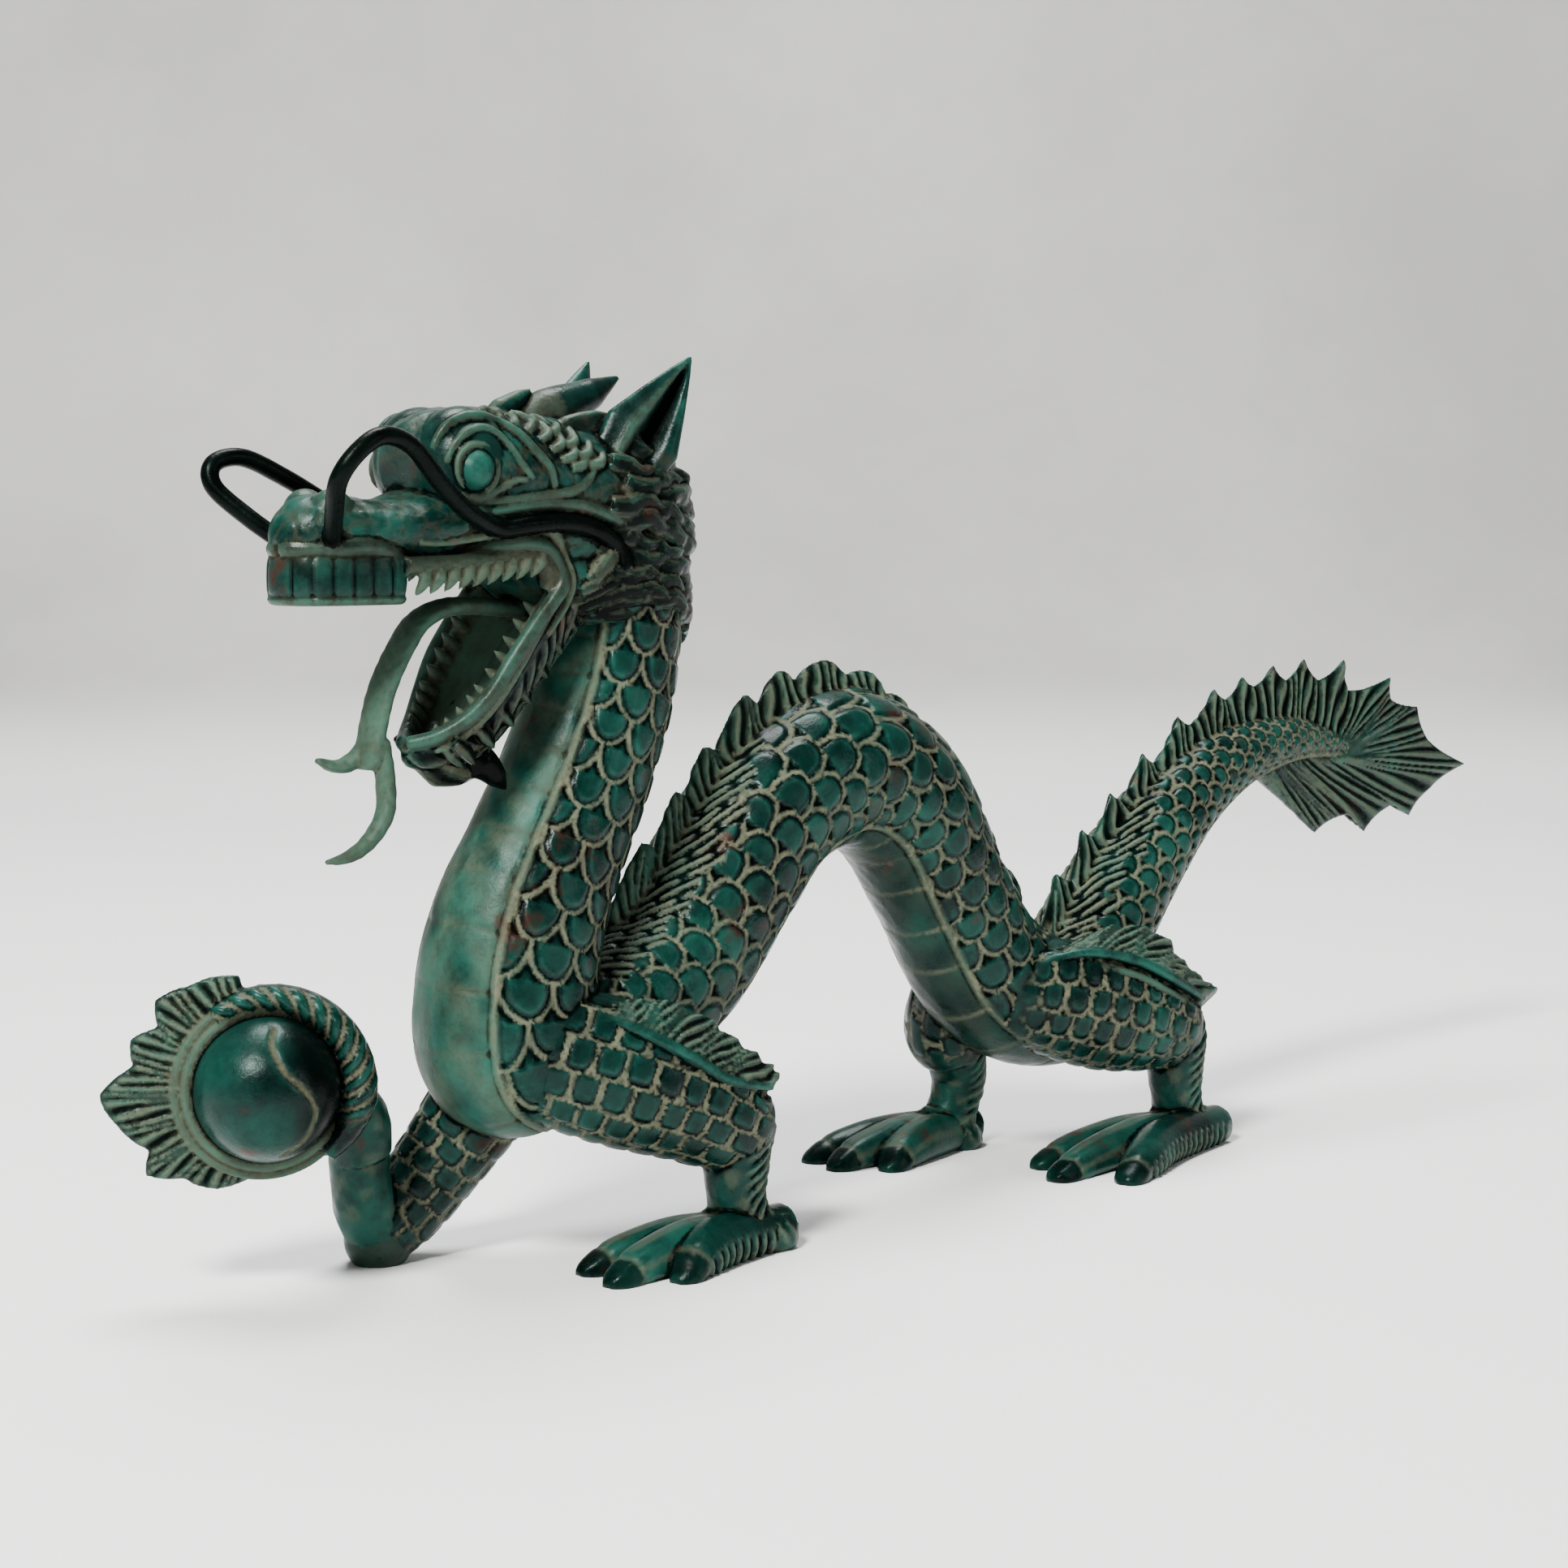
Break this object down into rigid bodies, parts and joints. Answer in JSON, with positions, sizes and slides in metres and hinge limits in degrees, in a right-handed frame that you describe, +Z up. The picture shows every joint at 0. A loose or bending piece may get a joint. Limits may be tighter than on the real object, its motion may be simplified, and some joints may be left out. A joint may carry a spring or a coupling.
{
  "type": "dragon sculpture",
  "caption": "Cast bronze dragon with a humped scaly body, open mouth and toothed tail fin, resting on an elbow and its feet with a flaming pearl raised in one paw.",
  "frame": {"origin": "centre of the bounding box's underside, on the surface that the feet and the elbow stand on", "axes": "+Z up; the dragon faces -X and its tail points to +X; its left side, with the near foreleg, is -Y"},
  "size_m": [0.4268, 0.0726, 0.1898],
  "materials": {
    "green_bronze": "satin dark green verdigris patina over cast bronze, with pale tan in the hollows"
  },
  "bodies": {
    "root": {"dragon": "green_bronze"}
  },
  "joints": []
}
